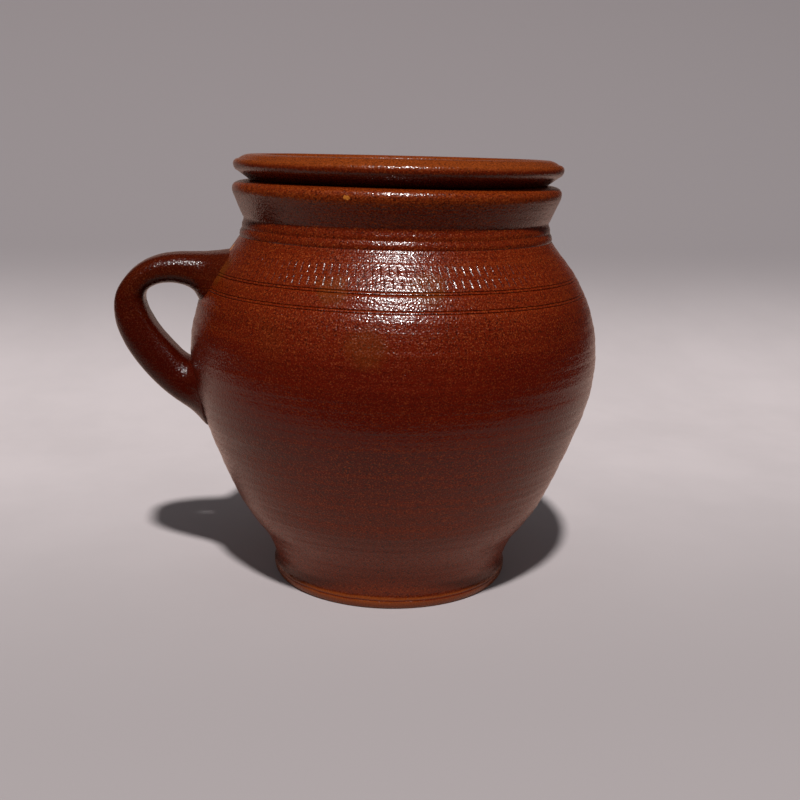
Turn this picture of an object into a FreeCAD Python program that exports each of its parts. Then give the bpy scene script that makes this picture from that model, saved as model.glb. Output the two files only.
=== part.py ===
import FreeCAD, Part
import math
import os
import Sketcher

# Stoneware bean pot with one strap handle and a loose plate lid.
# The origin is on the pot's axis, on the table. +Z is up and the handle points along -X.

document = FreeCAD.newDocument("bean_pot")
sheet = document.addObject("Spreadsheet::Sheet", "Sizes")

# Corners of the turned outlines: name, radius, height above the table
corners = [
    # Outside of the pot, from the foot up to the rim
    ("base", 60.8, 0.0),
    ("foot_edge", 62.7, 3.4),
    ("foot_ledge", 62.7, 5.6),
    ("foot_step", 62.1, 6.4),
    ("foot_top", 62.1, 11.0),
    ("heel", 71.9, 30.0),
    ("lower_side", 84.1, 50.0),
    ("side", 100.2, 91.0),
    ("belly", 105.0, 120.0),
    ("shoulder", 86.3, 170.0),
    ("collar", 79.9, 178.6),
    ("collar_line", 79.0, 179.1),
    ("lower_bead", 79.7, 179.7),
    ("lower_bead_top", 78.6, 183.0),
    ("bead_line", 78.0, 183.4),
    ("upper_bead", 78.5, 183.8),
    ("waist", 77.7, 186.9),
    ("neck", 78.2, 189.2),
    ("rim_root", 82.4, 199.0),
    ("rim", 83.2, 202.3),
    ("rim_crown", 81.0, 205.4),
    ("rim_flat", 76.0, 206.3),
    # Hollow of the pot, from the floor up to the mouth
    ("floor", 27.0, 11.0),
    ("inner_heel", 62.0, 30.0),
    ("inner_lower_side", 75.5, 53.0),
    ("inner_side", 92.6, 94.0),
    ("inner_belly", 97.2, 120.0),
    ("inner_shoulder", 80.5, 165.0),
    ("inner_collar", 71.2, 181.0),
    ("inner_waist", 69.8, 188.5),
    ("throat", 70.4, 204.2),
    ("mouth", 72.6, 206.3),
    # Lid at rest, from the middle of its underside round its edge to the dish
    ("lid_bottom", 52.0, 194.0),
    ("lid_corner", 67.4, 203.0),
    ("lid_seat", 68.4, 206.3),
    ("lid_heel", 74.8, 206.3),
    ("lid_under", 80.8, 210.6),
    ("lid_tip", 83.3, 214.2),
    ("lid_bevel", 80.6, 216.8),
    ("lid_top", 74.4, 219.0),
    ("lid_lip", 73.0, 219.0),
    ("dish_edge", 69.8, 216.6),
    ("dish_wall", 66.5, 209.0),
    ("dish_floor", 52.0, 200.2),
    # Knob on the dish floor
    ("knob_root", 11.5, 200.2),
    ("knob_neck", 8.6, 206.0),
    ("knob_underside", 13.2, 211.5),
    ("knob_edge", 14.4, 213.3),
    ("knob_shoulder", 12.5, 215.6),
    ("knob_top", 0.0, 217.0),
]

# Cross-sections of the strap handle, from the shoulder over the bend to the belly: name,
# how far its middle is out from the axis and up, its turn in degrees from lying level,
# its thickness and its width. The first and the last lie inside the wall of the pot.
sections = [
    ("upper_root", 88.5, 157.6, -28.5, 29.2, 48.0),
    ("upper_seat", 94.0, 159.5, -27.5, 24.5, 40.0),
    ("upper_flare", 99.0, 160.9, -22.5, 19.4, 32.8),
    ("upper_neck", 104.4, 162.0, -15.0, 16.2, 29.2),
    ("crown", 110.2, 162.5, -5.5, 14.5, 27.6),
    ("bend_start", 116.4, 162.2, 6.0, 13.5, 27.0),
    ("bend_high", 122.8, 160.6, 20.5, 12.6, 26.5),
    ("bend_middle", 128.4, 157.3, 40.0, 12.1, 26.2),
    ("bend_low", 132.3, 152.7, 62.0, 12.7, 26.2),
    ("grip_high", 134.2, 147.8, 81.0, 14.0, 26.4),
    ("grip", 134.2, 142.7, 95.0, 15.4, 26.9),
    ("grip_low", 132.9, 137.0, 105.0, 16.6, 27.5),
    ("back", 129.8, 130.1, 112.0, 17.6, 28.3),
    ("back_low", 125.2, 122.9, 119.0, 18.5, 29.2),
    ("flank", 119.7, 116.0, 129.0, 18.9, 30.4),
    ("tail", 114.0, 110.0, 145.0, 19.2, 32.2),
    ("tail_flare", 109.0, 105.7, 163.5, 20.3, 35.2),
    ("lower_seat", 104.4, 102.6, 178.5, 23.2, 40.0),
    ("lower_root", 98.5, 97.8, 189.0, 30.0, 49.0),
]

# Other driving dimensions
lengths = [
    ("lid_offset", 0.8),
    ("ring_width", 0.9),
    ("ring_depth", 0.5),
    ("upper_ring_high", 162.3),
    ("upper_ring_low", 161.1),
    ("lower_ring_high", 154.6),
    ("lower_ring_low", 153.4),
    ("strap_edge_share", 0.38),
]


def fill_sheet():
    cells = []
    for name, radius, height in corners:
        cells.append((name + "_radius", radius))
        cells.append((name + "_height", height))
    for name, out, up, turn, thickness, width in sections:
        cells.append((name + "_out", out))
        cells.append((name + "_up", up))
        cells.append((name + "_turn", turn))
        cells.append((name + "_thickness", thickness))
        cells.append((name + "_width", width))
    cells.extend(lengths)
    for row, (alias, number) in enumerate(cells, start=1):
        sheet.set(f"A{row}", alias)
        sheet.set(f"B{row}", str(number))
        sheet.setAlias(f"B{row}", alias)
    document.recompute()


def size(alias):
    return float(sheet.get(alias))


def corner_point(name):
    return FreeCAD.Vector(size(name + "_radius"), size(name + "_height"), 0)


def new_body(label):
    body = document.addObject("PartDesign::Body", label)
    body.Label = label
    return body


def origin_plane(body, role):
    return next(item for item in body.Origin.OriginFeatures if item.Role == role)


def new_sketch(body, name, role):
    sketch = body.newObject("Sketcher::SketchObject", name)
    sketch.AttachmentSupport = [(origin_plane(body, role), "")]
    sketch.MapMode = "FlatFace"
    return sketch


def bind(sketch, constraint, name, formula):
    index = sketch.addConstraint(constraint)
    sketch.renameConstraint(index, name)
    sketch.setExpression(".Constraints." + name, formula)


def pin_corner(sketch, edge, end, name):
    """Hold one end of an edge at a named corner, or on the axis or the table where it is zero."""
    for kind, axis, part in (("DistanceX", -2, "_radius"), ("DistanceY", -1, "_height")):
        value = size(name + part)
        if value == 0:
            sketch.addConstraint(Sketcher.Constraint("PointOnObject", edge, end, axis))
        else:
            held = Sketcher.Constraint(kind, -1, 1, edge, end, value)
            bind(sketch, held, name + part, "Sizes." + name + part)


# How an edge of an outline leaves its corner
LINE = "line"
LEAVES_UPRIGHT = "leaves upright"
ENDS_UPRIGHT = "ends upright"
LEAVES_LEVEL = "leaves level"
ENDS_LEVEL = "ends level"
FLOWS_ON = "carries on from the edge before"
FLOWS_BACK = "runs smoothly into the edge after"


def mirrored(direction, chord):
    along = FreeCAD.Vector(chord).normalize()
    return along * (2 * direction.dot(along)) - direction


def end_directions(points, bends):
    """The direction of each edge at its start. The arcs that lean on a neighbour come last."""
    count = len(bends)
    starts = [None] * count
    while None in starts:
        for i, bend in enumerate(bends):
            if starts[i] is not None:
                continue
            chord = points[(i + 1) % count] - points[i]
            upright = FreeCAD.Vector(0, math.copysign(1, chord.y), 0)
            level = FreeCAD.Vector(math.copysign(1, chord.x), 0, 0)
            before, after = i - 1, (i + 1) % count
            if bend == LINE:
                starts[i] = FreeCAD.Vector(chord).normalize()
            elif bend == LEAVES_UPRIGHT:
                starts[i] = upright
            elif bend == LEAVES_LEVEL:
                starts[i] = level
            elif bend == ENDS_UPRIGHT:
                starts[i] = mirrored(upright, chord)
            elif bend == ENDS_LEVEL:
                starts[i] = mirrored(level, chord)
            elif bend == FLOWS_ON and starts[before] is not None:
                starts[i] = mirrored(starts[before], points[i] - points[before])
            elif bend == FLOWS_BACK and starts[after] is not None:
                starts[i] = mirrored(starts[after], chord)
    return starts


def add_edge(sketch, start, finish, direction, bend):
    """Draw one edge. Returns its number and which of its ends are the start and the finish."""
    if bend == LINE:
        return sketch.addGeometry(Part.LineSegment(start, finish)), 1, 2
    chord = finish - start
    across = FreeCAD.Vector(-direction.y, direction.x, 0)
    reach = chord.dot(chord) / (2 * chord.dot(across))
    centre = start + across * reach
    angles = [math.atan2(p.y - centre.y, p.x - centre.x) for p in (start, finish)]
    if reach < 0:
        angles.reverse()
    if angles[1] < angles[0]:
        angles[1] += 2 * math.pi
    circle = Part.Circle(centre, FreeCAD.Vector(0, 0, 1), abs(reach))
    edge = sketch.addGeometry(Part.ArcOfCircle(circle, angles[0], angles[1]))
    return (edge, 1, 2) if reach > 0 else (edge, 2, 1)


def draw_outline(sketch, steps):
    """Draw a closed outline of lines and tangent arcs through named corners."""
    points = [place for name, place, bend in steps]
    bends = [bend for name, place, bend in steps]
    starts = end_directions(points, bends)
    count = len(steps)
    edges = []
    for i in range(count):
        edges.append(add_edge(sketch, points[i], points[(i + 1) % count], starts[i], bends[i]))
    for i in range(count):
        edge, first, last = edges[i]
        next_edge, next_first, next_last = edges[(i + 1) % count]
        smooth = bends[i] == FLOWS_BACK or bends[(i + 1) % count] == FLOWS_ON
        kind = "Tangent" if smooth else "Coincident"
        sketch.addConstraint(Sketcher.Constraint(kind, edge, last, next_edge, next_first))
        if bends[i] in (LEAVES_UPRIGHT, LEAVES_LEVEL):
            side = "Horizontal" if bends[i] == LEAVES_UPRIGHT else "Vertical"
            sketch.addConstraint(Sketcher.Constraint(side, edge, 3, edge, first))
        if bends[i] in (ENDS_UPRIGHT, ENDS_LEVEL):
            side = "Horizontal" if bends[i] == ENDS_UPRIGHT else "Vertical"
            sketch.addConstraint(Sketcher.Constraint(side, edge, 3, edge, last))
    return edges


def turned_outline(sketch, steps):
    """An outline through named corners, closed along the axis of the wheel."""
    first_height = steps[0][0] + "_height"
    last_height = steps[-1][0] + "_height"
    axis_low = FreeCAD.Vector(0, size(first_height), 0)
    axis_high = FreeCAD.Vector(0, size(last_height), 0)
    path = [("axis_low", axis_low, LINE)]
    path += [(name, corner_point(name), bend) for name, bend in steps]
    closed_on_axis = size(steps[-1][0] + "_radius") == 0
    if not closed_on_axis:
        path.append(("axis_high", axis_high, LINE))
    edges = draw_outline(sketch, path)
    for (name, place, bend), (edge, first, last) in zip(path, edges):
        if name == "axis_low":
            sketch.addConstraint(Sketcher.Constraint("PointOnObject", edge, first, -2))
            sketch.addConstraint(Sketcher.Constraint("Horizontal", edge))
        elif name == "axis_high":
            sketch.addConstraint(Sketcher.Constraint("PointOnObject", edge, first, -2))
        else:
            pin_corner(sketch, edge, first, name)
    if not closed_on_axis:
        level_edge = edges[-2][0]
        sketch.addConstraint(Sketcher.Constraint("Horizontal", level_edge))


def turn_on_wheel(body, kind, sketch, name):
    """Revolve an outline all the way round the axis, adding clay or cutting it away."""
    feature = body.newObject("PartDesign::" + kind, name)
    feature.Profile = sketch
    feature.ReferenceAxis = (sketch, ["V_Axis"])
    feature.Angle = 360.0
    document.recompute()
    return feature


pot_outside = [
    ("base", ENDS_UPRIGHT),
    ("foot_edge", LINE),
    ("foot_ledge", LINE),
    ("foot_step", LINE),
    ("foot_top", FLOWS_BACK),
    ("heel", FLOWS_BACK),
    ("lower_side", FLOWS_BACK),
    ("side", ENDS_UPRIGHT),
    ("belly", LEAVES_UPRIGHT),
    ("shoulder", FLOWS_ON),
    ("collar", LINE),
    ("collar_line", LINE),
    ("lower_bead", LEAVES_UPRIGHT),
    ("lower_bead_top", LINE),
    ("bead_line", LINE),
    ("upper_bead", LEAVES_UPRIGHT),
    ("waist", FLOWS_ON),
    ("neck", LINE),
    ("rim_root", ENDS_UPRIGHT),
    ("rim", LEAVES_UPRIGHT),
    ("rim_crown", ENDS_LEVEL),
    ("rim_flat", LINE),
]

# The belly's surface alone, between the foot and the beads, to seat the handle against
belly_outside = [
    ("foot_top", FLOWS_BACK),
    ("heel", FLOWS_BACK),
    ("lower_side", FLOWS_BACK),
    ("side", ENDS_UPRIGHT),
    ("belly", LEAVES_UPRIGHT),
    ("shoulder", FLOWS_ON),
    ("collar", LINE),
]

pot_hollow = [
    ("floor", FLOWS_BACK),
    ("inner_heel", FLOWS_BACK),
    ("inner_lower_side", FLOWS_BACK),
    ("inner_side", ENDS_UPRIGHT),
    ("inner_belly", LEAVES_UPRIGHT),
    ("inner_shoulder", FLOWS_ON),
    ("inner_collar", ENDS_UPRIGHT),
    ("inner_waist", LINE),
    ("throat", ENDS_LEVEL),
    ("mouth", LINE),
]

lid_outline = [
    ("lid_bottom", LEAVES_LEVEL),
    ("lid_corner", LINE),
    ("lid_seat", LINE),
    ("lid_heel", LINE),
    ("lid_under", ENDS_UPRIGHT),
    ("lid_tip", LEAVES_UPRIGHT),
    ("lid_bevel", ENDS_LEVEL),
    ("lid_top", LINE),
    ("lid_lip", LEAVES_LEVEL),
    ("dish_edge", LINE),
    ("dish_wall", ENDS_LEVEL),
    ("dish_floor", LINE),
]

knob_outline = [
    ("knob_root", ENDS_UPRIGHT),
    ("knob_neck", LEAVES_UPRIGHT),
    ("knob_underside", ENDS_UPRIGHT),
    ("knob_edge", LEAVES_UPRIGHT),
    ("knob_shoulder", ENDS_LEVEL),
    ("knob_top", LINE),
]


def shoulder_surface(height):
    """The radius of the rounded shoulder at a height, as a formula on the sheet."""
    drop = "(Sizes.belly_radius - Sizes.shoulder_radius)"
    climb = "(Sizes.shoulder_height - Sizes.belly_height)"
    bend = f"(({drop}^2 + {climb}^2) / (2 * {drop}))"
    above = f"(Sizes.{height} - Sizes.belly_height)"
    return f"Sizes.belly_radius - {bend} + sqrt({bend}^2 - {above}^2)"


def shoulder_radius_at(height):
    drop = size("belly_radius") - size("shoulder_radius")
    climb = size("shoulder_height") - size("belly_height")
    bend = (drop**2 + climb**2) / (2 * drop)
    above = size(height) - size("belly_height")
    return size("belly_radius") - bend + math.sqrt(bend**2 - above**2)


def draw_ring_line(sketch, height):
    """A small V cut into the shoulder: its point lies under the surface, its back outside."""
    radius, level = shoulder_radius_at(height), size(height)
    deep, half = size("ring_depth"), size("ring_width") / 2
    tip = FreeCAD.Vector(radius - deep, level, 0)
    high = FreeCAD.Vector(radius + deep, level + 2 * half, 0)
    low = FreeCAD.Vector(radius + deep, level - 2 * half, 0)
    a = sketch.addGeometry(Part.LineSegment(tip, low))
    b = sketch.addGeometry(Part.LineSegment(low, high))
    c = sketch.addGeometry(Part.LineSegment(high, tip))
    for first, second in ((a, b), (b, c), (c, a)):
        sketch.addConstraint(Sketcher.Constraint("Coincident", first, 2, second, 1))
    sketch.addConstraint(Sketcher.Constraint("Vertical", b))
    surface = shoulder_surface(height)
    held = Sketcher.Constraint("DistanceX", -1, 1, a, 1, tip.x)
    bind(sketch, held, height + "_point", surface + " - Sizes.ring_depth")
    held = Sketcher.Constraint("DistanceY", -1, 1, a, 1, tip.y)
    bind(sketch, held, height + "_level", "Sizes." + height)
    held = Sketcher.Constraint("DistanceX", -1, 1, b, 1, low.x)
    bind(sketch, held, height + "_back", surface + " + Sizes.ring_depth")
    held = Sketcher.Constraint("DistanceY", b, 1, a, 1, 2 * half)
    bind(sketch, held, height + "_half", "Sizes.ring_width")
    held = Sketcher.Constraint("DistanceY", a, 1, b, 2, 2 * half)
    bind(sketch, held, height + "_other_half", "Sizes.ring_width")


def make_pot():
    body = new_body("pot_body")
    outside = new_sketch(body, "pot_outside", "XZ_Plane")
    turned_outline(outside, pot_outside)
    turn_on_wheel(body, "Revolution", outside, "thrown_form")

    hollow = new_sketch(body, "pot_hollow", "XZ_Plane")
    turned_outline(hollow, pot_hollow)
    turn_on_wheel(body, "Groove", hollow, "hollow")

    rings = new_sketch(body, "shoulder_rings", "XZ_Plane")
    for height in ("upper_ring_high", "upper_ring_low", "lower_ring_high", "lower_ring_low"):
        draw_ring_line(rings, height)
    turn_on_wheel(body, "Groove", rings, "ring_lines")
    return body


def draw_strap_section(sketch, name):
    """An oval of four tangent arcs: two flat faces and two round edges."""
    half_wide = size(name + "_width") / 2
    half_thick = size(name + "_thickness") / 2
    edge_radius = 2 * half_thick * size("strap_edge_share")
    edge_middle = half_wide - edge_radius
    step = half_thick - edge_radius
    face_middle = (edge_middle**2 - step**2) / (2 * step)
    face_radius = face_middle + half_thick
    meet = math.atan2(face_middle, edge_middle)
    up = FreeCAD.Vector(0, 0, 1)
    rim = Part.Circle(FreeCAD.Vector(edge_middle, 0, 0), up, edge_radius)
    far_rim = Part.Circle(FreeCAD.Vector(-edge_middle, 0, 0), up, edge_radius)
    top = Part.Circle(FreeCAD.Vector(0, -face_middle, 0), up, face_radius)
    under = Part.Circle(FreeCAD.Vector(0, face_middle, 0), up, face_radius)
    arcs = [
        Part.ArcOfCircle(rim, -meet, meet),
        Part.ArcOfCircle(top, meet, math.pi - meet),
        Part.ArcOfCircle(far_rim, math.pi - meet, math.pi + meet),
        Part.ArcOfCircle(under, math.pi + meet, 2 * math.pi - meet),
    ]
    right, high, left, low = [sketch.addGeometry(arc) for arc in arcs]
    # Smooth where the first two arcs meet, and by symmetry at the other three joins
    sketch.addConstraint(Sketcher.Constraint("Tangent", right, 2, high, 1))
    for first, second in ((high, left), (left, low), (low, right)):
        sketch.addConstraint(Sketcher.Constraint("Coincident", first, 2, second, 1))
    sketch.addConstraint(Sketcher.Constraint("Symmetric", high, 1, high, 2, -2))
    sketch.addConstraint(Sketcher.Constraint("Symmetric", high, 1, low, 1, -1, 1))
    sketch.addConstraint(Sketcher.Constraint("Symmetric", high, 1, low, 2, -1))
    sketch.addConstraint(Sketcher.Constraint("Equal", right, left))
    sketch.addConstraint(Sketcher.Constraint("Equal", high, low))
    thick = "Sizes." + name + "_thickness"
    edge_size = f"{thick} * Sizes.strap_edge_share"
    bind(sketch, Sketcher.Constraint("Radius", right, edge_radius), "edge_radius", edge_size)
    held = Sketcher.Constraint("DistanceX", -1, 1, right, 3, edge_middle)
    bind(sketch, held, "edge_middle", f"Sizes.{name}_width / 2 - {edge_size}")
    thin_step = f"({thick} / 2 - {edge_size})"
    reach = f"(Sizes.{name}_width / 2 - {edge_size})"
    flat_radius = f"({reach}^2 - {thin_step}^2) / (2 * {thin_step}) + {thick} / 2"
    bind(sketch, Sketcher.Constraint("Radius", high, face_radius), "face_radius", flat_radius)


def make_handle():
    body = new_body("handle")
    drawn = []
    for name, *_ in sections:
        section = new_sketch(body, "strap_" + name, "XY_Plane")
        # The strap's width runs along Y and its thickness, at no turn, along Z
        upright = FreeCAD.Rotation(-90, 0, -90)
        section.AttachmentOffset = FreeCAD.Placement(FreeCAD.Vector(), upright)
        section.setExpression(".AttachmentOffset.Base.x", f"-Sizes.{name}_out")
        section.setExpression(".AttachmentOffset.Base.z", f"Sizes.{name}_up")
        section.setExpression(".AttachmentOffset.Rotation.Roll", f"Sizes.{name}_turn - 90")
        draw_strap_section(section, name)
        drawn.append(section)
    document.recompute()
    strap = body.newObject("PartDesign::AdditiveLoft", "pulled_strap")
    strap.Profile = drawn[0]
    strap.Sections = drawn[1:]
    strap.Ruled = False
    strap.Closed = False
    document.recompute()

    seat = new_sketch(body, "belly_outside", "XZ_Plane")
    turned_outline(seat, belly_outside)
    turn_on_wheel(body, "Groove", seat, "seat_on_belly")
    return body


def make_lid():
    body = new_body("lid")
    outline = new_sketch(body, "lid_outline", "XZ_Plane")
    turned_outline(outline, lid_outline)
    turn_on_wheel(body, "Revolution", outline, "thrown_plate")
    body.setExpression("Placement.Base.x", "Sizes.lid_offset")
    return body


def make_knob():
    body = new_body("lid_knob")
    outline = new_sketch(body, "knob_outline", "XZ_Plane")
    turned_outline(outline, knob_outline)
    turn_on_wheel(body, "Revolution", outline, "thrown_knob")
    body.setExpression("Placement.Base.x", "Sizes.lid_offset")
    return body


def check_document(pieces):
    for item in document.Objects:
        if "Invalid" in item.State or "Error" in item.State:
            raise RuntimeError(f"{item.Label} failed: {item.State}")
    for piece in pieces:
        if piece.Shape.isNull() or not piece.Shape.isValid():
            raise RuntimeError(f"{piece.Label} has no valid shape")
        if len(piece.Shape.Solids) != 1:
            raise RuntimeError(f"{piece.Label} has {len(piece.Shape.Solids)} solids")


fill_sheet()
pieces = [make_pot(), make_handle(), make_lid(), make_knob()]
document.recompute()
check_document(pieces)
os.makedirs("parts", exist_ok=True)
for piece in pieces:
    piece.Shape.exportStep("parts/" + piece.Label + ".step")
    box = piece.Shape.BoundBox
    print(
        f"{piece.Label}: {piece.Shape.Volume / 1000:.1f} cm3, {len(piece.Shape.Faces)} faces,",
        f"x {box.XMin:.1f} to {box.XMax:.1f}, y {box.YMin:.1f} to {box.YMax:.1f},",
        f"z {box.ZMin:.1f} to {box.ZMax:.1f}",
    )
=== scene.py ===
import bpy
import math
from mathutils import Matrix, Vector


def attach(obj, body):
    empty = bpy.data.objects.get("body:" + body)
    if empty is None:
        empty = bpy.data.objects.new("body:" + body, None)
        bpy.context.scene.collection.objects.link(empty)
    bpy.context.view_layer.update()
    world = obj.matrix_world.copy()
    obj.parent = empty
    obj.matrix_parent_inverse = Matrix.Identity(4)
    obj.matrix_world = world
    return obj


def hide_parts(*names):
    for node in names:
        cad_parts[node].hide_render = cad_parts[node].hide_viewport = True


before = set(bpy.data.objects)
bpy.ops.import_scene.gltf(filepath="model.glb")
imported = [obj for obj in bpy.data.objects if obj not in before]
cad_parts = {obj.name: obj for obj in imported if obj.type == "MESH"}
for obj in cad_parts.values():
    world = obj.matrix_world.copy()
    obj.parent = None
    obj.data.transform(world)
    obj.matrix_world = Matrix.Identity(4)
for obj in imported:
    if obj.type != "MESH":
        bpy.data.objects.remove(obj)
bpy.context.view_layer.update()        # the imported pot: body "pot" holds the handle, body "cover" the lid

# A glazed stoneware bean pot, thrown on a wheel, with a pulled strap handle and a loose plate lid.
# Sizes are in millimetres here and become metres as a mesh is made.
mm = 0.001


def report(stage):
    print("bean pot:", stage)


def triangles(piece):
    return sum(len(face.vertices) - 2 for face in piece.data.polygons)


def deselectAll():
    if bpy.context.object and bpy.context.object.mode != "OBJECT":
        bpy.ops.object.mode_set(mode="OBJECT")
    bpy.ops.object.select_all(action="DESELECT")


def openMesh():
    bpy.ops.object.mode_set(mode="EDIT")


def closeMesh():
    bpy.ops.object.mode_set(mode="OBJECT")


def selectMode(kind):
    bpy.ops.mesh.select_mode(type=kind)


def clearPicks(mesh):
    for parts in (mesh.vertices, mesh.edges, mesh.polygons):
        parts.foreach_set("select", [False] * len(parts))


def pickEdges(piece, wanted):
    # Opens the mesh with only the edges picked whose ends the test accepts
    closeMesh()
    mesh = piece.data
    clearPicks(mesh)
    for edge in mesh.edges:
        edge.select = wanted(*[mesh.vertices[i].co for i in edge.vertices])
    openMesh()
    selectMode("EDGE")


def pickFaces(piece, wanted):
    # Opens the mesh with only the faces picked that the test accepts
    closeMesh()
    mesh = piece.data
    clearPicks(mesh)
    for face in mesh.polygons:
        face.select = wanted(face)
    openMesh()
    selectMode("FACE")


# Turned outlines: straight lines and arcs that meet smoothly at their corners

# How an edge of an outline leaves its corner or reaches the next
line = "line"
leavesUpright = "leaves upright"
endsUpright = "ends upright"
leavesLevel = "leaves level"
endsLevel = "ends level"
flowsOn = "carries on from the edge before"
flowsBack = "runs smoothly into the edge after"


def turned(direction, angle):
    return Matrix.Rotation(angle, 2) @ direction


def angleTo(direction, chord):
    crossed = direction.x * chord.y - direction.y * chord.x
    return math.atan2(crossed, direction.dot(chord))


def startDirections(places, bends):
    count = len(bends)
    starts = [None] * count
    while None in starts:
        for i, bend in enumerate(bends):
            if starts[i] is not None:
                continue
            chord = places[i + 1] - places[i]
            upright = Vector((0, math.copysign(1, chord.y)))
            level = Vector((math.copysign(1, chord.x), 0))
            if bend == line:
                starts[i] = chord.normalized()
            elif bend == leavesUpright:
                starts[i] = upright
            elif bend == leavesLevel:
                starts[i] = level
            elif bend == endsUpright:
                starts[i] = turned(upright, 2 * angleTo(upright, chord))
            elif bend == endsLevel:
                starts[i] = turned(level, 2 * angleTo(level, chord))
            elif bend == flowsOn and starts[i - 1] is not None:
                before = places[i] - places[i - 1]
                starts[i] = turned(starts[i - 1], 2 * angleTo(starts[i - 1], before))
            elif bend == flowsBack and starts[i + 1] is not None:
                starts[i] = turned(starts[i + 1], 2 * angleTo(starts[i + 1], chord))
    return starts


def outlinePoints(corners, gap):
    # Points along an outline, about one gap apart, with every corner among them
    places = [Vector((radius, height)) for radius, height, bend in corners]
    bends = [bend for radius, height, bend in corners[:-1]]
    points = []
    for start, finish, direction in zip(places, places[1:], startDirections(places, bends)):
        chord = finish - start
        half = angleTo(direction, chord)
        curved = abs(half) > 0.001
        length = chord.length * half / math.sin(half) if curved else chord.length
        steps = max(1, round(length / gap))
        for step in range(steps):
            share = step / steps
            reach = chord.length * (math.sin(half * share) / math.sin(half) if curved else share)
            points.append(start + turned(direction, half * share) * reach)
    points.append(places[-1])
    return points


def extrudeOutline(name, points):
    # A chain of vertices in the XZ plane, drawn by extruding one vertex from place to place
    deselectAll()
    bpy.ops.mesh.primitive_plane_add(size=2 * mm, location=(points[0].x * mm, 0, points[0].y * mm))
    piece = bpy.context.object
    piece.name = name
    bpy.ops.object.transform_apply(location=True, rotation=True, scale=True)
    openMesh()
    selectMode("VERT")
    bpy.ops.mesh.select_all(action="SELECT")
    bpy.ops.mesh.merge(type="CENTER")
    for before, after in zip(points, points[1:]):
        move = ((after.x - before.x) * mm, 0, (after.y - before.y) * mm)
        bpy.ops.mesh.extrude_region_move(TRANSFORM_OT_translate={"value": move})
    closeMesh()
    return piece


def spinOnWheel(piece, columns):
    # Turns the drawn outline round the axis and closes the seam and the poles
    openMesh()
    bpy.ops.mesh.select_all(action="SELECT")
    bpy.ops.mesh.spin(steps=columns, angle=2 * math.pi, center=(0, 0, 0), axis=(0, 0, 1))
    bpy.ops.mesh.select_all(action="SELECT")
    bpy.ops.mesh.remove_doubles(threshold=0.01 * mm)
    bpy.ops.mesh.normals_make_consistent(inside=False)
    closeMesh()


def shadeSmooth(piece, degrees):
    deselectAll()
    piece.select_set(True)
    bpy.context.view_layer.objects.active = piece
    bpy.ops.object.shade_smooth_by_angle(angle=math.radians(degrees))


def displace(piece, name, values):
    # Pushes the surface in and out with a smooth noise, as a hand or a wheel does
    size, height, stretch = values[name]
    texture = bpy.data.textures.new(name, "CLOUDS")
    texture.noise_scale = size * mm
    texture.noise_depth = 2
    guide = bpy.data.objects.new(name + "Guide", None)
    bpy.context.collection.objects.link(guide)
    guide.scale = stretch
    bpy.context.view_layer.update()
    deselectAll()
    piece.select_set(True)
    bpy.context.view_layer.objects.active = piece
    modifier = piece.modifiers.new(name, "DISPLACE")
    modifier.texture = texture
    modifier.texture_coords = "OBJECT"
    modifier.texture_coords_object = guide
    modifier.mid_level = 0.5
    modifier.strength = height * mm
    standing = [vertex.index for vertex in piece.data.vertices if vertex.co.z < 0.01 * mm]
    bpy.ops.object.modifier_apply(modifier=modifier.name)
    for index in standing:       # what stands on the table stays flat
        piece.data.vertices[index].co.z = 0
    bpy.data.objects.remove(guide)
    bpy.data.textures.remove(texture)


# The pot

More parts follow.
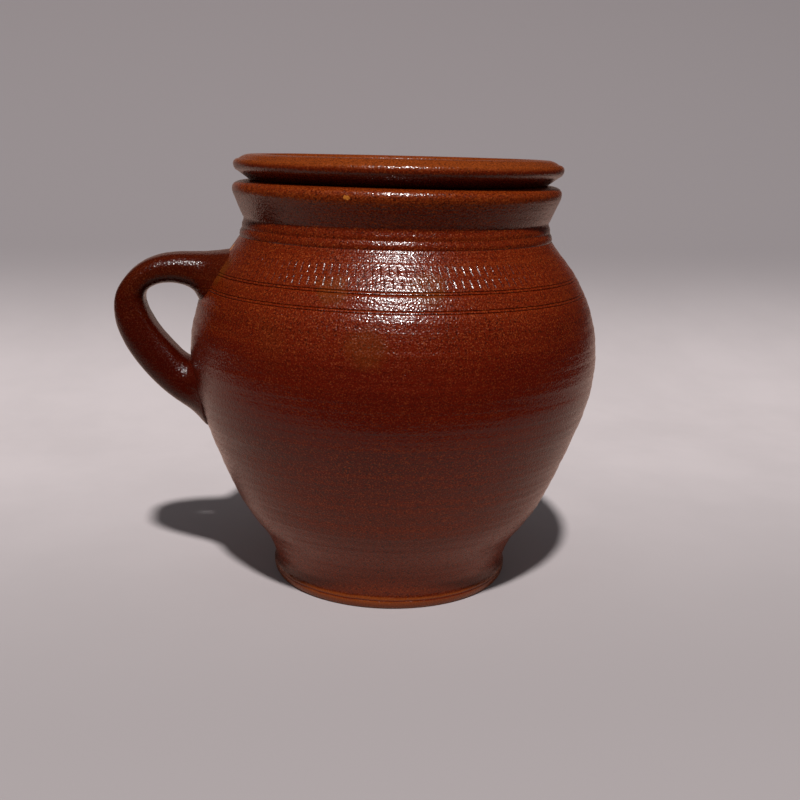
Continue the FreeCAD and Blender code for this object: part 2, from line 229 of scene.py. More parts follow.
potValues = {
    "columns": 288,              # edges round the pot, two to each roulette stroke
    "outsideGap": 1.35,          # rows on the outside, so that the throwing lines show
    "insideGap": 8.0,
    "strokeLean": -7.0,          # degrees from upright
    "strokeMargin": 0.08,        # soft edge of a stroke, then its sloping wall
    "strokeInset": 0.36,
    "strokeDepth": 0.27,
    # bottom, top, which of four columns is pressed, and how deep for the depth above
    "rouletteBands": [(168.3, 173.0, 0, 1.0), (163.5, 168.1, 2, 1.0), (143.0, 148.6, 0, 0.32)],
    "rouletteMargin": 0.6,       # rows this near a band are turned with it
    # a point farther out than this is on the outside, above and below the shoulder's height
    "outsideFrom": {"shoulder": 76.0, "belly": 96.0},
    "shoulderHeight": 160.0,
    # height, width and depth of the lines cut round the shoulder
    "ringLines": [
        (177.3, 0.5, 0.12),
        (175.6, 0.6, 0.15),
        (174.4, 0.5, 0.10),
        (162.3, 0.9, 0.50),
        (161.1, 0.9, 0.50),
        (154.6, 0.9, 0.50),
        (153.4, 0.9, 0.50),
    ],
    "throwingHeight": 0.07,      # how far the throwing lines stand up
    "throwingEnds": (12.0, 176.0),       # they run between these heights
    "throwingFades": (10.0, 8.0),        # and fade out this far inside them
    # size of the swellings, how far they reach from low to high, and how they are stretched
    "outOfRound": (90.0, 0.5, (1, 1, 1)),
    "fingerBands": (30.0, 0.35, (3.0, 3.0, 0.22)),
    "smoothUnder": 50,           # edges sharper than this many degrees stay sharp
    # radius, height above the table, and how the edge after the corner runs
    "outside": [
        (0.0, 0.0, line),
        (60.8, 0.0, endsUpright),
        (62.7, 3.4, line),
        (62.7, 4.0, line),
        (62.45, 4.4, line),
        (62.7, 4.8, line),
        (62.7, 5.6, line),
        (62.1, 6.4, line),
        (62.1, 11.0, flowsBack),
        (71.9, 30.0, flowsBack),
        (84.1, 50.0, flowsBack),
        (100.2, 91.0, endsUpright),
        (105.0, 120.0, leavesUpright),
        (86.3, 170.0, flowsOn),
        (79.9, 178.5, line),
        (79.45, 179.1, line),
        (79.7, 179.8, leavesUpright),
        (78.6, 182.9, line),
        (78.35, 183.4, line),
        (78.5, 183.9, leavesUpright),
        (77.7, 186.9, flowsOn),
        (78.2, 189.2, line),
        (82.4, 199.0, endsUpright),
        (83.2, 202.3, leavesUpright),
        (81.0, 205.4, endsLevel),
        (76.0, 206.3, line),
        (72.6, 206.3, line),
    ],
    "inside": [
        (72.6, 206.3, leavesLevel),
        (70.4, 204.2, line),
        (69.8, 188.5, leavesUpright),
        (71.2, 181.0, flowsBack),
        (80.5, 165.0, endsUpright),
        (97.2, 120.0, leavesUpright),
        (92.6, 94.0, flowsOn),
        (75.5, 53.0, flowsOn),
        (62.0, 30.0, flowsOn),
        (27.0, 11.0, line),
        (0.0, 11.0, line),
    ],
    "glaze": {
        "thinEdge": (196.0, 200.0, 0.10),        # the glaze thins out between these heights
        "foot": {
            "height": 6.5,
            "darkerAboveFoot": (9.0, 0.60),     # how far above the foot it is darker, and how dark
            "wander": 0.4,               # how far the glaze's edge wanders up and down
            "ledge": (0.8, 0.65),        # height and strength of the thin orange edge
            "lineBelow": 2.1,            # how far below the foot's height the line of painted shade runs, along the scribed line
            "lineEdge": (0.1, 0.6),      # its soft edge, from its middle
            "lineShare": 0.8,
            "bare": (0.15, 0.9),         # bare clay below, and none above
            "bareRoughness": 0.75,
        },
        # middle, size and strength: a chip on the rim and a crumb, then thin patches
        "marks": [
            ((-32.7, -76.4, 201.8), 1.7, 1.0, "crumb"),
            ((-83.6, -7.0, 173.0), 2.2, 1.0, "crumb"),
            ((-88.2, -24.2, 163.0), 11.0, 0.40, "ochre"),
            ((-40.3, -82.7, 162.2), 9.0, 0.28, "ochre"),
            ((2.8, -91.0, 163.5), 10.0, 0.30, "ochre"),
            ((-26.3, -98.7, 140.6), 11.0, 0.20, "ochre"),
        ],
    },
}


def throwingRipple(height, values):
    # Fine uneven ridges left by the fingers, fading out under the rim and at the foot
    low, high = values["throwingEnds"]
    lowFade, highFade = values["throwingFades"]
    fade = min(1.0, max(0.0, (height - low) / lowFade))
    fade *= min(1.0, max(0.0, (high - height) / highFade))
    # Waves of unlike pitch, in radians to the millimetre, so that no ridge repeats
    wave = math.sin(height * 1.31 + 0.7 * math.sin(height * 0.17))
    wave += 0.8 * math.sin(height * 2.07 + 1.9) * math.sin(height * 0.11 + 0.4)
    wave += 1.2 * math.sin(height * 0.43 + 0.9)
    return values["throwingHeight"] * fade * wave


def cutRingLines(points, values):
    # Narrow grooves: the rows at their edges and their lowest point replace the even rows there
    for height, width, depth in values["ringLines"]:
        half = width / 2
        room = half + 0.1        # rows nearer than this give way to the line
        near = min(points, key=lambda p: abs(p.y - height))
        at = points.index(near)
        slope = (points[at + 1].x - points[at - 1].x) / (points[at + 1].y - points[at - 1].y)
        radius = near.x + slope * (height - near.y)
        edges = [Vector((radius + slope * side, height + side)) for side in (-half, 0, half)]
        edges[1].x -= depth
        kept = [p for p in points if abs(p.y - height) > room]
        place = sum(1 for p in kept if p.y < height)
        points = kept[:place] + edges + kept[place:]
    return points


def pressRoulette(piece, values):
    # Strokes of a notched wheel, rolled round the shoulder while the clay was soft
    mesh = piece.data
    pitch = math.pi / values["columns"]
    bands = values["rouletteBands"]
    lean = math.tan(math.radians(values["strokeLean"]))
    around = values["rouletteMargin"]

    def bandAt(place, margin):
        height = place.z / mm
        part = "shoulder" if height > values["shoulderHeight"] else "belly"
        if math.hypot(place.x, place.y) / mm < values["outsideFrom"][part]:
            return None
        for band in bands:
            if band[0] - margin < height < band[1] + margin:
                return band
        return None

    def leanAt(place, band):
        # How far the band is turned at this height, in radians
        return lean * (place.z / mm - (band[0] + band[1]) / 2) * mm / math.hypot(place.x, place.y)

    def isRowEdge(start, end):
        level = abs(start.z - end.z) < 0.002 * mm
        return level and bandAt(start, around) is not None

    pickEdges(piece, isRowEdge)
    bpy.ops.mesh.subdivide(number_cuts=1)
    closeMesh()
    # The cut puts its new points on the chord: each goes out to the turned surface again
    for vertex in mesh.vertices:
        band = bandAt(vertex.co, around)
        if band is None:
            continue
        angle = math.atan2(vertex.co.y, vertex.co.x)
        radius = math.hypot(vertex.co.x, vertex.co.y)
        if round(angle / pitch) % 2:
            radius /= math.cos(pitch)
        angle += leanAt(vertex.co, band)
        vertex.co.x = radius * math.cos(angle)
        vertex.co.y = radius * math.sin(angle)

    def isStroke(face, band):
        if bandAt(face.center, 0) is not band:
            return False
        angle = math.atan2(face.center.y, face.center.x) - leanAt(face.center, band)
        return math.floor(angle / pitch) % 4 == band[2]

    mesh.attributes.new("pressed", "FLOAT", "POINT")     # marks the strokes, darkened as pooled glaze and as painted shade
    for band in bands:
        share = band[3]
        pickFaces(piece, lambda face: isStroke(face, band))
        bpy.ops.mesh.inset(thickness=values["strokeMargin"] * mm, use_even_offset=True)
        bpy.ops.mesh.inset(
            thickness=values["strokeInset"] * mm,
            depth=-values["strokeDepth"] * share * mm,
            use_even_offset=True,
        )
        closeMesh()
        pressed = mesh.attributes["pressed"].data
        for face in mesh.polygons:
            if face.select:
                for index in face.vertices:
                    pressed[index].value = share


def makePot(values):
    outside = outlinePoints(values["outside"], values["outsideGap"])
    floorRows = [p for p in outside if p.y == 0.0]
    # Under the flat foot every seventh row is enough
    coarse = [p for i, p in enumerate(floorRows) if i % 7 == 0 or p is floorRows[-1]]
    outside = coarse + outside[len(floorRows):]
    outside = cutRingLines(outside, values)
    for point in outside:
        if point.y > 0:
            point.x += throwingRipple(point.y, values)
    inside = outlinePoints(values["inside"], values["insideGap"])
    pot = extrudeOutline("thrownPot", outside + inside[1:])
    spinOnWheel(pot, values["columns"])
    report("pot turned")
    pressRoulette(pot, values)
    displace(pot, "outOfRound", values)
    displace(pot, "fingerBands", values)
    shadeSmooth(pot, values["smoothUnder"])
    report(f"pot finished, {triangles(pot)} triangles")
    return pot


# The handle

handleValues = {
    "rings": 76,
    "edgeShare": 0.40,           # radius of the strap's edges, as a share of its thickness
    "smearReach": 5.0,           # how far from the wall the smeared clay starts
    "smearSpread": 1.3,          # and how far it spreads at the wall
    "bulge": 0.10,               # how much thicker the strap is in its middle
    "bulgeLevel": 0.6,           # the share of the bulge at which the thickness stays
    # size, reach and stretch of the swellings, as for the pot
    "pulling": (14.0, 0.5, (1, 1, 1)),
    "pulledSkin": (4.0, 0.12, (1, 1, 1)),
    "smoothUnder": 60,
    # From the shoulder over the bend to the belly: how far out from the axis and how high the
    # middle is, the turn in degrees from lying level, the thickness and the width
    "stations": [
        (88.5, 157.6, -28.5, 29.2, 46.0),
        (94.0, 159.5, -27.5, 24.5, 38.5),
        (99.0, 160.9, -22.5, 19.4, 32.0),
        (104.4, 162.0, -15.0, 16.2, 29.0),
        (110.2, 162.5, -5.5, 14.5, 27.6),
        (116.4, 162.2, 6.0, 13.5, 27.0),
        (122.8, 160.6, 20.5, 12.6, 26.5),
        (128.4, 157.3, 40.0, 12.1, 26.2),
        (132.3, 152.7, 62.0, 12.7, 26.2),
        (134.2, 147.8, 81.0, 14.0, 26.4),
        (134.2, 142.7, 95.0, 15.4, 26.9),
        (132.9, 137.0, 105.0, 16.6, 27.5),
        (129.8, 130.1, 112.0, 17.6, 28.3),
        (125.2, 122.9, 119.0, 18.5, 29.2),
        (119.7, 116.0, 129.0, 18.9, 30.4),
        (114.0, 110.0, 145.0, 19.2, 32.2),
        (109.0, 105.7, 163.5, 20.3, 35.2),
        (104.4, 102.6, 178.5, 23.2, 40.0),
        (98.5, 97.8, 189.0, 30.0, 48.0),
    ],
    "glaze": {"brightness": 0.42, "speckle": 0.6, "grit": 1.25, "gloss": 0.30},
}


def smoothBetween(values, share):
    # A value on the smooth curve through a list of values, for a share of the way along it
    place = share * (len(values) - 1)
    at = min(int(place), len(values) - 2)
    step = place - at
    before, start = values[max(at - 1, 0)], values[at]
    finish, after = values[at + 1], values[min(at + 2, len(values) - 1)]
    return 0.5 * (
        2 * start
        + (finish - before) * step
        + (2 * before - 5 * start + 4 * finish - after) * step**2
        + (3 * start - before - 3 * finish + after) * step**3
    )


def strapRing(values, share):
    out, up, turn, thickness, width = [
        smoothBetween([station[i] for station in values["stations"]], share) for i in range(5)
    ]
    return Vector((-out, 0, up)) * mm, math.radians(turn), thickness * mm, width * mm


def drawStrapEnd(values):
    # A flat plate the size of the strap's first section, its corners rounded off
    middle, turn, thickness, width = strapRing(values, 0)
    deselectAll()
    bpy.ops.mesh.primitive_plane_add(size=1, location=(0, 0, 0))
    handle = bpy.context.object
    handle.name = "pulledHandle"
    openMesh()
    selectMode("VERT")
    bpy.ops.mesh.select_all(action="SELECT")
    bpy.ops.transform.resize(value=(width, thickness, 1))
    bpy.ops.mesh.bevel(
        offset=values["edgeShare"] * thickness, offset_type="OFFSET", segments=6, affect="VERTICES"
    )
    # Only the four straight sides are longer than this, and get more points
    shortSide = 0.15 * thickness
    pickEdges(handle, lambda start, end: (start - end).length > shortSide)
    bpy.ops.mesh.subdivide(number_cuts=7)
    closeMesh()
    # A strap's broad faces bulge a little
    for vertex in handle.data.vertices:
        bulge = 1 - (2 * vertex.co.x / width) ** 2
        vertex.co.y *= 1 + values["bulge"] * (bulge - values["bulgeLevel"])
    # Stand the plate up: its width along Y, its thickness square to the strap's run
    stand = Matrix.Rotation(math.radians(90), 4, "Z") @ Matrix.Rotation(math.radians(90), 4, "X")
    handle.data.transform(Matrix.Rotation(-turn, 4, "Y") @ stand)
    handle.data.transform(Matrix.Translation(middle))
    return handle


def makeHandle(values, pot):
    handle = drawStrapEnd(values)
    count = len(handle.data.vertices)
    middle, turn, thickness, width = strapRing(values, 0)
    middles = [middle]
    pickFaces(handle, lambda face: True)
    for ring in range(1, values["rings"] + 1):
        share = ring / values["rings"]
        nextMiddle, nextTurn, nextThickness, nextWidth = strapRing(values, share)
        bpy.ops.mesh.extrude_region_move(TRANSFORM_OT_translate={"value": nextMiddle - middle})
        scale = nextThickness / thickness
        bpy.ops.transform.resize(
            value=(scale, nextWidth / width, scale), center_override=nextMiddle
        )
        bpy.ops.transform.rotate(
            value=nextTurn - turn, orient_axis="Y", center_override=nextMiddle
        )
        middle, turn, thickness, width = nextMiddle, nextTurn, nextThickness, nextWidth
        middles.append(middle)
    bpy.ops.mesh.select_all(action="SELECT")
    bpy.ops.mesh.normals_make_consistent(inside=False)
    closeMesh()
    smearRoots(handle, pot, middles, count, values)
    deselectAll()
    handle.select_set(True)
    bpy.context.view_layer.objects.active = handle
    finer = handle.modifiers.new("finer", "SUBSURF")
    finer.levels = 1
    bpy.ops.object.modifier_apply(modifier="finer")
    displace(handle, "pulling", values)
    displace(handle, "pulledSkin", values)
    shadeSmooth(handle, values["smoothUnder"])
    report(f"handle pulled, {triangles(handle)} triangles")
    return handle


def smearRoots(handle, pot, middles, count, values):
    # Close to the wall the strap spreads out, as clay does where it is smeared on
    reach = values["smearReach"] * mm
    for vertex in handle.data.vertices:
        found, place, normal, face = pot.closest_point_on_mesh(vertex.co)
        gap = max(0.0, (vertex.co - place).dot(normal))
        if gap > reach:
            continue
        away = vertex.co - middles[vertex.index // count]
        away -= normal * away.dot(normal)
        vertex.co += away.normalized() * values["smearSpread"] * mm * (1 - gap / reach) ** 2


# The lid and its knob

lidValues = {
    "columns": 240,
    "gap": 1.6,
    "offset": 0.8,               # how far the lid lies off the pot's middle
    "throwingHeight": 0.06,
    "throwingReach": 66.0,       # radius of the dished middle, which has throwing lines
    "lidWobble": (70.0, 0.4, (1, 1, 1)),
    "smoothUnder": 40,
    # On the lid the orange of thin glaze covers the top bevel, partly painted light where it faces the
    # light
    "glaze": {"speckle": 0.8, "thinEdge": (213.8, 216.0, 0.62)},     # the knob's too
    "outline": [
        (0.0, 194.0, line),
        (52.0, 194.0, leavesLevel),
        (67.4, 203.0, line),
        (68.4, 206.3, line),
        (74.8, 206.3, line),
        (80.8, 210.6, endsUpright),
        (83.3, 214.2, leavesUpright),
        (80.6, 216.8, endsLevel),
        (74.4, 219.0, line),
        (73.0, 219.0, leavesLevel),
        (69.8, 216.6, line),
        (66.5, 209.0, endsLevel),
        (52.0, 200.2, line),
        (0.0, 200.2, line),
    ],
}


def makeLid(values):
    points = outlinePoints(values["outline"], values["gap"])
    for point in points:
        if 0 < point.x < values["throwingReach"]:
            wave = math.sin(point.x * 1.1 + math.sin(point.x * 0.3))
            point.y += values["throwingHeight"] * wave
    lid = extrudeOutline("plateLid", points)
    spinOnWheel(lid, values["columns"])
    displace(lid, "lidWobble", values)
    lid.data.transform(Matrix.Translation((values["offset"] * mm, 0, 0)))
    shadeSmooth(lid, values["smoothUnder"])
    report(f"lid finished, {triangles(lid)} triangles")
    return lid


knobValues = {
    "columns": 96,
    "gap": 0.8,
    "knobWobble": (16.0, 0.3, (1, 1, 1)),
    "smoothUnder": 40,
    "outline": [
        (0.0, 200.0, line),
        (11.5, 200.0, endsUpright),
        (8.6, 206.0, leavesUpright),
        (13.2, 211.5, endsUpright),
        (14.4, 213.3, leavesUpright),
        (12.5, 215.6, endsLevel),
        (0.0, 217.0, line),
    ],
}


def makeKnob(values, offset):
    knob = extrudeOutline("lidKnob", outlinePoints(values["outline"], values["gap"]))
    spinOnWheel(knob, values["columns"])
    displace(knob, "knobWobble", values)
    knob.data.transform(Matrix.Translation((offset * mm, 0, 0)))
    shadeSmooth(knob, values["smoothUnder"])
    report(f"knob finished, {triangles(knob)} triangles")
    return knob


# Finishes

class Finish:
    # A node material in the making, with short ways to add and join its nodes
    def __init__(self, name):
        self.material = bpy.data.materials.new(name)
        self.material.use_nodes = True
        self.tree = self.material.node_tree
        self.shader = self.tree.nodes["Principled BSDF"]

    def add(self, kind, **settings):
        node = self.tree.nodes.new("ShaderNode" + kind)
        for key, value in settings.items():
            setattr(node, key, value)
        return node

    def join(self, source, target):
        self.tree.links.new(source, target)

    def put(self, target, value):
        if isinstance(value, bpy.types.NodeSocket):
            self.join(value, target)
        else:
            target.default_value = value

    def place(self, scale=(1, 1, 1), move=(0, 0, 0)):
        coordinates = self.add("TexCoord")
        mapping = self.add("Mapping")
        self.join(coordinates.outputs["Object"], mapping.inputs["Vector"])
        mapping.inputs["Scale"].default_value = scale
        mapping.inputs["Location"].default_value = move
        return mapping.outputs["Vector"]

    def noise(self, scale=1.0, detail=2.0, roughness=0.5, stretch=(1, 1, 1), move=(0, 0, 0)):
        node = self.add("TexNoise")
        self.join(self.place(stretch, move), node.inputs["Vector"])
        node.inputs["Scale"].default_value = scale
        node.inputs["Detail"].default_value = detail
        node.inputs["Roughness"].default_value = roughness
        return node.outputs["Fac"]

    def cells(self, scale):
        node = self.add("TexVoronoi")
        self.join(self.place(), node.inputs["Vector"])
        node.inputs["Scale"].default_value = scale
        return node.outputs["Distance"]

    def span(self, value, low, high, first=0.0, last=1.0):
        node = self.add("MapRange", interpolation_type="SMOOTHSTEP")
        self.join(value, node.inputs["Value"])
        node.inputs["From Min"].default_value = low
        node.inputs["From Max"].default_value = high
        node.inputs["To Min"].default_value = first
        node.inputs["To Max"].default_value = last
        return node.outputs["Result"]

    def maths(self, operation, first, second=0.0):
        node = self.add("Math", operation=operation)
        self.put(node.inputs[0], first)
        self.put(node.inputs[1], second)
        return node.outputs[0]

    def mix(self, share, first, second, blend="MIX"):
        node = self.add("Mix", data_type="RGBA", blend_type=blend)
        self.put(node.inputs["Factor"], share)
        for socket, value in ((node.inputs[6], first), (node.inputs[7], second)):
            self.put(socket, value if isinstance(value, bpy.types.NodeSocket) else (*value, 1.0))
        return node.outputs[2]

    def bump(self, height, distance, strength, normal=None):
        node = self.add("Bump")
        node.inputs["Strength"].default_value = strength
        node.inputs["Distance"].default_value = distance
        self.join(height, node.inputs["Height"])
        if normal is not None:
            self.join(normal, node.inputs["Normal"])
        return node.outputs["Normal"]


glazeValues = {
    "colors": {
        "deepRed": (0.078, 0.0034, 0.0004),
        "redBrown": (0.108, 0.0066, 0.0007),
        "orangeBrown": (0.160, 0.0190, 0.0017),
        "ochre": (0.130, 0.0400, 0.0045),
        "edgeOrange": (0.200, 0.0420, 0.0050),       # where the glaze is thin over an edge; on the lid's top bevel partly painted light
        "speck": (0.026, 0.0022, 0.0006),
        "brightSpeck": (0.270, 0.0480, 0.0050),
        "clay": (0.360, 0.1350, 0.0480),
        "crumb": (0.450, 0.1400, 0.0200),
    },
    "roughness": (0.11, 0.22),   # in the smoothest places, and how much more in the others
    "roughLevels": (0.35, 0.65),         # levels of the bright grains between which it rises
    "ior": 1.46,
    # what isn't given here is 1 for the scale, 2 for the detail and 0.5 for the roughness
    "noises": {
        "clouds": {"scale": 13.0, "detail": 3.0, "roughness": 0.55},
        "wheelBands": {"detail": 4.0, "roughness": 0.6, "stretch": (9.0, 9.0, 260.0)},
        "patches": {"scale": 21.0, "move": (0.3, 0.1, 0.2)},
        "thinGrains": {"scale": 850.0, "roughness": 0.7, "move": (0.2, 0.6, 0.1)},
        "brightGrains": {"scale": 1350.0, "roughness": 0.7},
        "darkGrains": {"scale": 1150.0, "roughness": 0.65, "move": (0.7, 0.2, 0.4)},
        "pitted": {"scale": 60.0},
        "wander": {"scale": 40.0, "detail": 3.0, "roughness": 0.6},
        "wheelLines": {"detail": 3.0, "roughness": 0.55, "stretch": (14.0, 14.0, 620.0)},
        "orangePeel": {"scale": 480.0, "roughness": 0.55},
        "sparkle": {"scale": 1150.0, "detail": 0.0, "move": (0.1, 0.5, 0.3)},
    },
    # the two levels of a noise between which its color comes in, and the strength at each
    "levels": {
        "clouds": (0.34, 0.66, 0.0, 1.0),
        "wheelBands": (0.45, 0.80, 0.0, 0.40),
        "patches": (0.60, 0.74, 0.0, 0.12),
        "thinGrains": (0.48, 0.60, 0.0, 1.0),
        "brightGrains": (0.54, 0.64, 0.0, 0.75),
        "darkGrains": (0.54, 0.62, 0.0, 0.80),
        "pitted": (0.55, 0.62, 0.0, 1.0),
    },
    # the same for the height above the table, in millimetres
    "heights": {
        "warmShoulder": (128, 172, 0.0, 0.30),
        "warmFoot": (15, 95, 0.85, 0.0),
        "girthFrom": (84, 104, 0.0, 1.0),
        "girthTo": (122, 150, 0.55, 0.0),
    },
    "thinGrainShare": 0.4,       # how strong the bright grains get where the glaze is thin, on the lid's top partly painted light
    "pitCells": 330.0,
    "pitEdge": (0.05, 0.12, 1.0, 0.0),   # a pit's edge, from the middle of its cell
    "pitShare": 0.85,            # how dark a pit is and a pressed stroke, pooled glaze and painted shade
    "pressedShare": 0.85,        # and a pressed stroke
    "raggedLevels": (0.3, 0.7),  # levels of a noise between which a ragged edge wanders
    "markGrain": 450.0,          # noise scale at the edge of a mark one millimetre in size
    "markRagged": 0.4,           # how ragged that edge is, as a share of the mark's size
    "markSoft": {"crumb": 0.85, "ochre": 0.3},       # where the edge starts, as such a share
    # height in millimetres and strength of what the light catches on
    "bumps": {
        "wheelLines": (0.25, 0.6),
        "orangePeel": (0.12, 0.8),
        "sparkle": (0.19, 0.9),
        "pits": (0.2, 0.8),
    },
}


def glaze(
    name, values, brightness=1.0, speckle=1.0, grit=1.0, gloss=0.5,
    thinEdge=None, foot=None, marks=(),
):
    # the thin edge: from and up to which height the glaze thins out, and how far; on the lid's top bevel
    # this orange is partly painted light
    finish = Finish(name)
    color = {
        key: tuple(brightness * part for part in value)
        for key, value in values["colors"].items()
    }
    axes = finish.add("SeparateXYZ")
    finish.join(finish.place(), axes.inputs[0])
    up = axes.outputs[2]

    def noise(key):
        return finish.noise(**values["noises"][key])

    def levels(key, source, share=1.0):
        low, high, first, last = values["levels"][key]
        return finish.span(source, low, high, first, last * share)

    def heights(key):
        low, high, first, last = values["heights"][key]
        return finish.span(up, low * mm, high * mm, first, last)

    # Clouds from deep red to red brown, soft bands from the wheel, a few ochre patches
    clouds = noise("clouds")
    bands = noise("wheelBands")
    tone = finish.mix(levels("clouds", clouds), color["deepRed"], color["redBrown"])
    tone = finish.mix(levels("wheelBands", bands), tone, color["orangeBrown"])
    tone = finish.mix(levels("patches", noise("patches")), tone, color["ochre"])
    warm = finish.maths("MAXIMUM", heights("warmShoulder"), heights("warmFoot"))
    tone = finish.mix(warm, tone, color["orangeBrown"])
    if thinEdge:
        low, high, share = thinEdge
        # Orange of thin glaze over the edge; on the lid's top bevel it is partly painted light
        thinGlazeAndPaintedLight = finish.span(up, low * mm, high * mm, 0.0, share)
        tone = finish.mix(thinGlazeAndPaintedLight, tone, color["edgeOrange"])
        coarse = levels("thinGrains", noise("thinGrains"))
        rise = finish.span(up, low * mm, high * mm, 0.0, values["thinGrainShare"])
        tone = finish.mix(finish.maths("MULTIPLY", coarse, rise), tone, color["brightSpeck"])

    # Iron speckle: bright grains, then dark grains, then a darker girth and pits
    grains = noise("brightGrains")
    tone = finish.mix(levels("brightGrains", grains, speckle), tone, color["brightSpeck"])
    tone = finish.mix(levels("darkGrains", noise("darkGrains"), speckle), tone, color["speck"])
    girth = finish.maths("MULTIPLY", heights("girthFrom"), heights("girthTo"))
    tone = finish.mix(girth, tone, color["deepRed"])
    pits = finish.span(finish.cells(values["pitCells"]), *values["pitEdge"])
    pits = finish.maths("MULTIPLY", pits, levels("pitted", noise("pitted")))
    tone = finish.mix(finish.maths("MULTIPLY", pits, values["pitShare"]), tone, color["speck"])
    smooth, rise = values["roughness"]
    rough = finish.span(grains, *values["roughLevels"], smooth, smooth + rise)
    if foot:
        # Darker above the foot, thin orange on its ledge, painted shade along the scribed line, bare clay
        # below
        end = foot["height"]
        reach, share = foot["darkerAboveFoot"]
        darkerAboveFoot = finish.span(up, end * mm, (end + reach) * mm, share, 0.0)
        tone = finish.mix(darkerAboveFoot, tone, color["speck"])
        drift = foot["wander"] * mm
        wander = finish.span(noise("wander"), *values["raggedLevels"], -drift, drift)
        lifted = finish.maths("ADD", up, wander)
        reach, share = foot["ledge"]
        ledge = finish.span(lifted, (end - reach) * mm, end * mm, share, 0.0)
        tone = finish.mix(ledge, tone, color["edgeOrange"])
        # Painted shade along the scribed line round the foot
        off = finish.maths("SUBTRACT", lifted, (end - foot["lineBelow"]) * mm)
        off = finish.maths("ABSOLUTE", off)
        near, far = foot["lineEdge"]
        shadedScribedLine = finish.span(off, near * mm, far * mm, foot["lineShare"], 0.0)
        tone = finish.mix(shadedScribedLine, tone, color["deepRed"])
        low, high = foot["bare"]
        bare = finish.span(up, low * mm, high * mm, 1.0, 0.0)
        tone = finish.mix(bare, tone, color["clay"])
        bareRough = finish.maths("MULTIPLY", bare, foot["bareRoughness"])
        rough = finish.maths("MAXIMUM", rough, bareRough)
    # The pressed strokes darker: pooled glaze, and painted shade in their grooves
    pooledGlazeAndShade = finish.add("Attribute", attribute_name="pressed").outputs["Fac"]
    pooledGlazeAndShade = finish.maths("MULTIPLY", pooledGlazeAndShade, values["pressedShare"])
    tone = finish.mix(pooledGlazeAndShade, tone, color["speck"])
    for middle, size, share, key in marks:
        distance = finish.add("VectorMath", operation="DISTANCE")
        finish.join(finish.place(), distance.inputs[0])
        distance.inputs[1].default_value = Vector(middle) * mm
        ragged = finish.noise(values["markGrain"] / size, detail=3.0, roughness=0.6)
        reach = values["markRagged"] * size * mm
        ragged = finish.span(ragged, *values["raggedLevels"], -reach, reach)
        ragged = finish.maths("ADD", ragged, distance.outputs["Value"])
        soft = values["markSoft"][key]
        mark = finish.span(ragged, soft * size * mm, size * mm, share, 0.0)
        tone = finish.mix(mark, tone, color[key])
    finish.join(tone, finish.shader.inputs["Base Color"])
    finish.join(rough, finish.shader.inputs["Roughness"])
    finish.shader.inputs["IOR"].default_value = values["ior"]
    finish.shader.inputs["Specular IOR Level"].default_value = gloss

    # The finest lines of the wheel, orange peel, a grain that sparkles, and the pits
    normal = None
    for key, share in (("wheelLines", 1.0), ("orangePeel", 1.0), ("sparkle", grit)):
        height, strength = values["bumps"][key]
        normal = finish.bump(noise(key), height * share * mm, strength, normal)
    height, strength = values["bumps"]["pits"]
    normal = finish.bump(finish.maths("SUBTRACT", 1.0, pits), height * mm, strength, normal)
    finish.join(normal, finish.shader.inputs["Normal"])
    return finish.material


def dress(piece, material, body, node):
    piece.data.materials.clear()
    piece.data.materials.append(material)
    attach(piece, body)
    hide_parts(node)


# Stage, lamps and camera

stageValues = {
    # Painted light and shade in the paper: lighter behind the pot, darker up the wall
    "frontColor": (0.350, 0.308, 0.308),
    "paintedLightColor": (0.600, 0.530, 0.530),
    "paintedShadeWallColor": (0.250, 0.221, 0.225),
    "frontToFloor": (-0.18, 0.24),       # where the one color becomes the other, in metres
    "floorToWall": (-0.02, 0.12),        # the same by height
    "grain": {"scale": 9.0, "detail": 4.0, "roughness": 0.6},
    "grainEnds": (0.3, 0.7),
    "grainDarkness": 0.93,
    "paperRoughness": 0.9,
    "paperGloss": 0.2,
    "floorHalf": 2.6,
    "wallDistance": 0.88,
    "wallHeight": 1.1,
    "bendRadius": 0.62,
    "worldColor": (0.85, 0.92, 1.0),
    "worldStrength": 0.13,
    "mirroredWorld": 0.02,       # what the glaze mirrors of the room above
    "keyPower": 300.0,
    "keySize": 0.34,
    "keyDistance": 5.0,
    "keyElevation": 57.5,
    "keyHeading": 7.3,
    "keyHeight": 0.12,           # of the point that the key light circles
    "lampTarget": (0, 0, 0.11),
    "fillPower": 1.6,
    "fillPlace": (1.3, -0.5, 0.9),       # and the same on the left
    "fillSize": 1.2,
    # Painted light and shade for every ray but the camera's: a warm tint near the pot, dark farther off
    "bouncedTint": (1.0, 0.76, 0.63),
    "poolMiddle": 430.0,         # the paper that the glaze mirrors reaches this far round a point behind the pot; farther off the paper is painted dark, as painted shade
    "poolRadius": 650.0,         # a point behind the pot; farther off the studio is dark
    "poolEdge": 15.0,
    "darkStudio": (0.01, 0.01, 0.01),
}


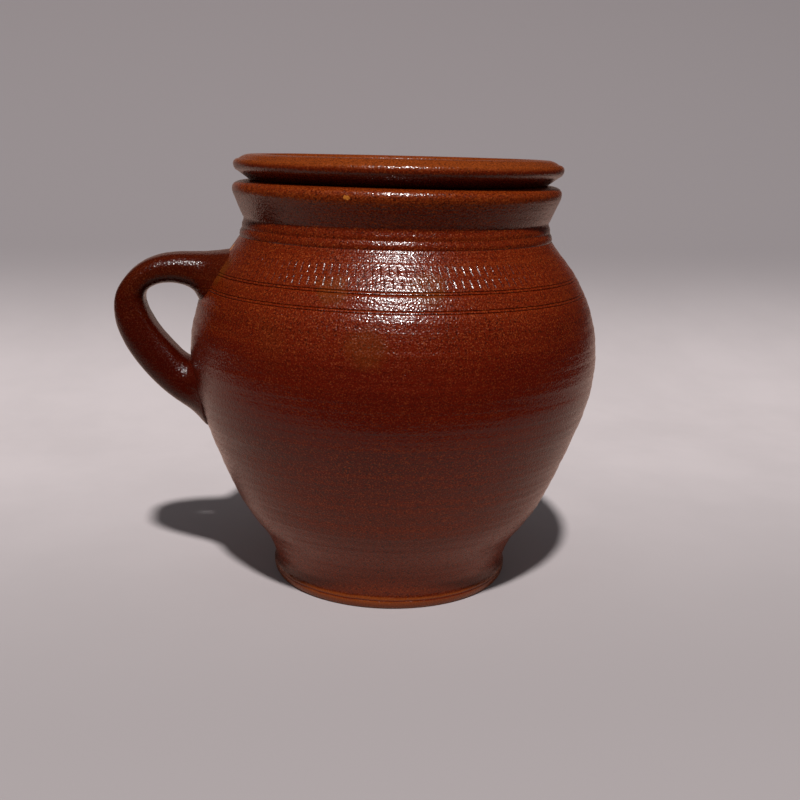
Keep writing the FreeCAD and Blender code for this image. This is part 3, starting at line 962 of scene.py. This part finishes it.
def makeStage(values):
    half = values["floorHalf"]
    deselectAll()
    bpy.ops.mesh.primitive_plane_add(size=2, location=(0, 0, 0))
    floor = bpy.context.object
    floor.name = "paleSweep"
    openMesh()
    selectMode("VERT")
    bpy.ops.mesh.select_all(action="SELECT")
    bpy.ops.transform.resize(value=(half, half, 1))
    closeMesh()
    mesh = floor.data
    # The back edge comes forward to the foot of the wall and is drawn up, and the fold rounded
    for vertex in mesh.vertices:
        if vertex.co.y > 0:
            vertex.co.y = values["wallDistance"]
    pickEdges(floor, lambda start, end: start.y > 0 and end.y > 0)
    bpy.ops.mesh.extrude_region_move(
        TRANSFORM_OT_translate={"value": (0, 0, values["wallHeight"])}
    )
    pickEdges(floor, lambda start, end: min(start.y, end.y) > 0 and max(start.z, end.z) < 0.001)
    bpy.ops.mesh.bevel(offset=values["bendRadius"], segments=24, affect="EDGES")
    bpy.ops.mesh.select_all(action="SELECT")
    bpy.ops.mesh.normals_make_consistent(inside=False)
    closeMesh()
    bpy.ops.object.shade_smooth()
    finish = Finish("palePaper")
    grain = finish.span(finish.noise(**values["grain"]), *values["grainEnds"])
    color = values["paintedLightColor"]
    darker = tuple(part * values["grainDarkness"] for part in color)
    paper = finish.mix(grain, darker, color)
    # Painted light: brightest behind the pot, where the paper starts to rise towards the light, and painted
    # shade up the wall
    axes = finish.add("SeparateXYZ")
    finish.join(finish.place(), axes.inputs[0])
    back = finish.span(axes.outputs[1], *values["frontToFloor"])
    paper = finish.mix(back, values["frontColor"], paper)
    high = finish.span(axes.outputs[2], *values["floorToWall"])
    paper = finish.mix(high, paper, values["paintedShadeWallColor"])
    # What the camera doesn't see itself is painted: warmer near the pot, standing for warm light, and
    # painted shade farther off
    middle = finish.add("VectorMath", operation="DISTANCE")
    finish.join(finish.place(), middle.inputs[0])
    middle.inputs[1].default_value = (0, values["poolMiddle"] * mm, 0)
    edge, soft = values["poolRadius"] * mm, values["poolEdge"] * mm
    far = finish.span(middle.outputs["Value"], edge - soft, edge + soft)
    path = finish.add("LightPath")
    unseen = finish.maths("SUBTRACT", 1.0, path.outputs["Is Camera Ray"])
    paper = finish.mix(unseen, paper, values["bouncedTint"], "MULTIPLY")
    paper = finish.mix(finish.maths("MULTIPLY", far, unseen), paper, values["darkStudio"])
    finish.join(paper, finish.shader.inputs["Base Color"])
    finish.shader.inputs["Roughness"].default_value = values["paperRoughness"]
    finish.shader.inputs["Specular IOR Level"].default_value = values["paperGloss"]
    mesh.materials.append(finish.material)


def aimedLamp(name, place, size, power, target):
    lamp = bpy.data.lights.new(name, "AREA")
    lamp.shape = "DISK"
    lamp.size = size
    lamp.energy = power
    lampObject = bpy.data.objects.new(name, lamp)
    bpy.context.collection.objects.link(lampObject)
    lampObject.location = place
    aim = Vector(target) - Vector(place)
    lampObject.rotation_euler = aim.to_track_quat("-Z", "Y").to_euler()
    return lampObject


def makeLamps(values):
    world = bpy.data.worlds.new("softRoom")
    bpy.context.scene.world = world
    world.use_nodes = True
    background = world.node_tree.nodes["Background"]
    background.inputs["Color"].default_value = (*values["worldColor"], 1)
    path = world.node_tree.nodes.new("ShaderNodeLightPath")
    strength = world.node_tree.nodes.new("ShaderNodeMapRange")
    strength.inputs["To Min"].default_value = values["worldStrength"]
    strength.inputs["To Max"].default_value = values["mirroredWorld"]
    world.node_tree.links.new(path.outputs["Is Glossy Ray"], strength.inputs["Value"])
    world.node_tree.links.new(strength.outputs["Result"], background.inputs["Strength"])
    heading = math.radians(values["keyHeading"])
    elevation = math.radians(values["keyElevation"])
    level = values["keyDistance"] * math.cos(elevation)
    keyPlace = (
        -math.sin(heading) * level,
        -math.cos(heading) * level,
        values["keyHeight"] + values["keyDistance"] * math.sin(elevation),
    )
    target = values["lampTarget"]
    aimedLamp("highKey", keyPlace, values["keySize"], values["keyPower"], target)
    x, y, z = values["fillPlace"]
    for side in (-1, 1):
        fill = aimedLamp(
            "sideFill", (x * side, y, z), values["fillSize"], values["fillPower"], target
        )
        fill.visible_glossy = False


cameraValues = {
    "place": (-77.1, -548.6, 224.6),
    "heading": 8.42,             # degrees from straight on, towards the right
    "pitch": 13.42,              # degrees down
    "roll": 1.32,
    "lens": 48.0,
    "sensor": 36.0,
}


def makeCamera(values):
    data = bpy.data.cameras.new("photoCamera")
    data.lens = values["lens"]
    data.sensor_width = values["sensor"]
    camera = bpy.data.objects.new("photoCamera", data)
    bpy.context.collection.objects.link(camera)
    turn = Matrix.Rotation(math.radians(-values["heading"]), 4, "Z")
    tilt = Matrix.Rotation(math.radians(90 - values["pitch"]), 4, "X")
    roll = Matrix.Rotation(math.radians(values["roll"]), 4, "Z")
    camera.matrix_world = Matrix.Translation(Vector(values["place"]) * mm) @ turn @ tilt @ roll
    bpy.context.scene.camera = camera


makeCamera(cameraValues)
makeStage(stageValues)
makeLamps(stageValues)
bpy.context.scene.view_settings.view_transform = "Standard"
report("stage and camera set")

pot = makePot(potValues)
handle = makeHandle(handleValues, pot)
lid = makeLid(lidValues)
knob = makeKnob(knobValues, lidValues["offset"])

potGlaze = glaze("ironGlaze", glazeValues, **potValues["glaze"])
handleGlaze = glaze("handleGlaze", glazeValues, **handleValues["glaze"])
lidGlaze = glaze("lidGlaze", glazeValues, **lidValues["glaze"])
dress(pot, potGlaze, "pot", "pot_body")
dress(handle, handleGlaze, "pot", "handle")
dress(lid, lidGlaze, "cover", "lid")
dress(knob, lidGlaze.copy(), "cover", "lid_knob")
report("pieces glazed")
